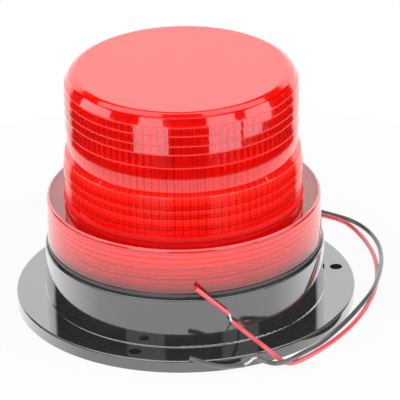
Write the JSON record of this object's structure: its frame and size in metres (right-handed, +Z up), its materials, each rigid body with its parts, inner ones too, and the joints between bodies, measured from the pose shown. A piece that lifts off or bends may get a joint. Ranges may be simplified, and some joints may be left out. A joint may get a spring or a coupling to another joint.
{
  "type": "warning light",
  "caption": "Round flange-mounted warning light: black base, screw-on ribbed red lens over a flash lamp and its driver board, with loose stripped power leads.",
  "frame": {"origin": "middle of the flange's underside, on the surface it is bolted to", "axes": "+Z up along the axis of the base and lens; +Y is the rear, where the leads leave by the notch in the rim; -Y is the front, where the stripped ends lie"},
  "size_m": [0.18, 0.1828, 0.1203],
  "materials": {
    "black_housing": "satin",
    "red_lens": "clear, gloss",
    "grey_rubber": "matte",
    "board_green": "satin",
    "plain_steel": "plain",
    "bare_aluminium": "plain",
    "white_deck": "gloss",
    "white_ceramic": "matte",
    "clear_glass": "clear",
    "capacitor_sleeve": "gloss",
    "ferrite": "matte",
    "bobbin_plastic": "matte",
    "copper_winding": "enamelled",
    "black_moulding": "matte",
    "film_casing": "gloss",
    "resistor_coat": "gloss",
    "black_insulation": "satin",
    "red_insulation": "satin",
    "tinned_strands": "tinned"
  },
  "bodies": {
    "base": {"base_housing": "black_housing", "driver_board": "board_green", "driver_board_screws": "plain_steel", "deck_pillars": "bare_aluminium", "reflector_deck": "white_deck", "deck_screws": "plain_steel", "tube_holder": "white_ceramic", "flash_tube": "clear_glass", "tube_electrodes": "plain_steel", "trigger_wire": "plain_steel", "storage_capacitor": "capacitor_sleeve", "transformer_core": "ferrite", "transformer_bobbin": "bobbin_plastic", "transformer_winding": "copper_winding", "transistor_heat_sink": "bare_aluminium", "switching_transistor": "black_moulding", "transistor_screw": "plain_steel", "trigger_coil": "copper_winding", "film_capacitors": "film_casing", "board_resistors": "resistor_coat", "board_diodes": "black_moulding", "wire_grommet": "grey_rubber", "black_lead_inner": "black_insulation", "red_lead_inner": "red_insulation", "black_lead": "black_insulation", "red_lead": "red_insulation", "black_lead_conductor": "tinned_strands", "red_lead_conductor": "tinned_strands", "black_lead_end_sleeve": "black_insulation", "red_lead_end_sleeve": "red_insulation"},
    "gasket": {"lens_gasket": "grey_rubber"},
    "lens": {"lens": "red_lens"}
  },
  "joints": [
    {"name": "lens_twist", "type": "hinge", "parent": "base", "child": "gasket", "pos_m": [0, 0, 0.0306], "axis": [0, 0, 1], "range_deg": [0, 1080]},
    {"name": "lens_rise", "type": "slide", "parent": "gasket", "child": "lens", "axis": [0, 0, 1], "range_m": [0, 0.00781]}
  ],
  "couplings": [
    {"joint": "lens_rise", "follows": "lens_twist", "m_per_rad": 0.0004138}
  ]
}
